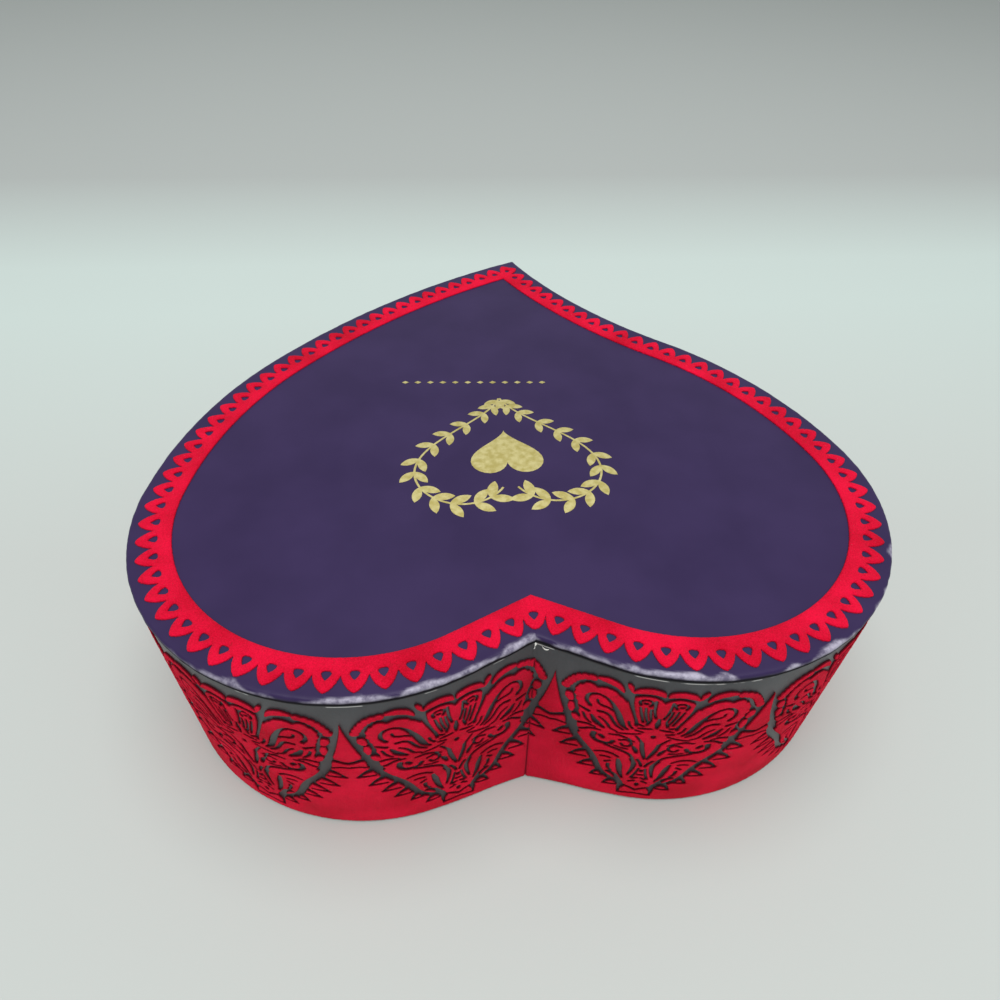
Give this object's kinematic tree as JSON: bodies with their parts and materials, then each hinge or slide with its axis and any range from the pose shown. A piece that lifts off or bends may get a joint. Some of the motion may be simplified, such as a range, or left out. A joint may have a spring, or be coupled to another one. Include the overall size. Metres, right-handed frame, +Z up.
{
  "type": "heart-shaped candy box",
  "caption": "Heart-shaped rigid candy box: deep lift-off lid with red flocked lace, wrapped base, slotted card divider and soft pad.",
  "frame": {"origin": "on the table under the middle of the lid's outline", "axes": "+Z up, +Y from the cleft towards the tip, +X to the right seen from the cleft"},
  "size_m": [0.1632, 0.1612, 0.0514],
  "materials": {
    "purple_paper": "glossy laminated",
    "red_flock": "fine flock pile",
    "charcoal_paper": "matt dyed paper",
    "grey_board": "raw greyboard",
    "white_paper": "smooth uncoated",
    "stay_tape": "kraft gummed tape",
    "divider_card": "brown card",
    "pad_paper": "embossed cushion paper"
  },
  "bodies": {
    "base": {"base_bottom_board": "grey_board", "base_wall_board": "grey_board", "base_seam_stay": "stay_tape", "base_side_wrap": "charcoal_paper", "base_bottom_paper": "charcoal_paper", "base_floor_paper": "white_paper"},
    "divider": {"divider_long_left": "divider_card", "divider_long_middle": "divider_card", "divider_long_right": "divider_card", "divider_cross_front": "divider_card", "divider_cross_middle": "divider_card", "divider_cross_back": "divider_card"},
    "pad": {"candy_pad": "pad_paper"},
    "lid": {"lid_top_board": "grey_board", "lid_cover_paper": "purple_paper", "lid_lace_border": "red_flock", "lid_skirt_board": "grey_board", "lid_seam_stay": "stay_tape", "lid_side_wrap": "charcoal_paper", "lid_skirt_lace": "red_flock", "lid_liner": "white_paper"}
  },
  "joints": [
    {"name": "divider_lift", "type": "slide", "parent": "base", "child": "divider", "axis": [0, 0, 1], "range_m": [0, 0.055]},
    {"name": "pad_lift", "type": "slide", "parent": "divider", "child": "pad", "axis": [0, 0, 1], "range_m": [0, 0.03]},
    {"name": "lid_lift", "type": "slide", "parent": "pad", "child": "lid", "axis": [0, 0, 1], "range_m": [0, 0.07]}
  ]
}
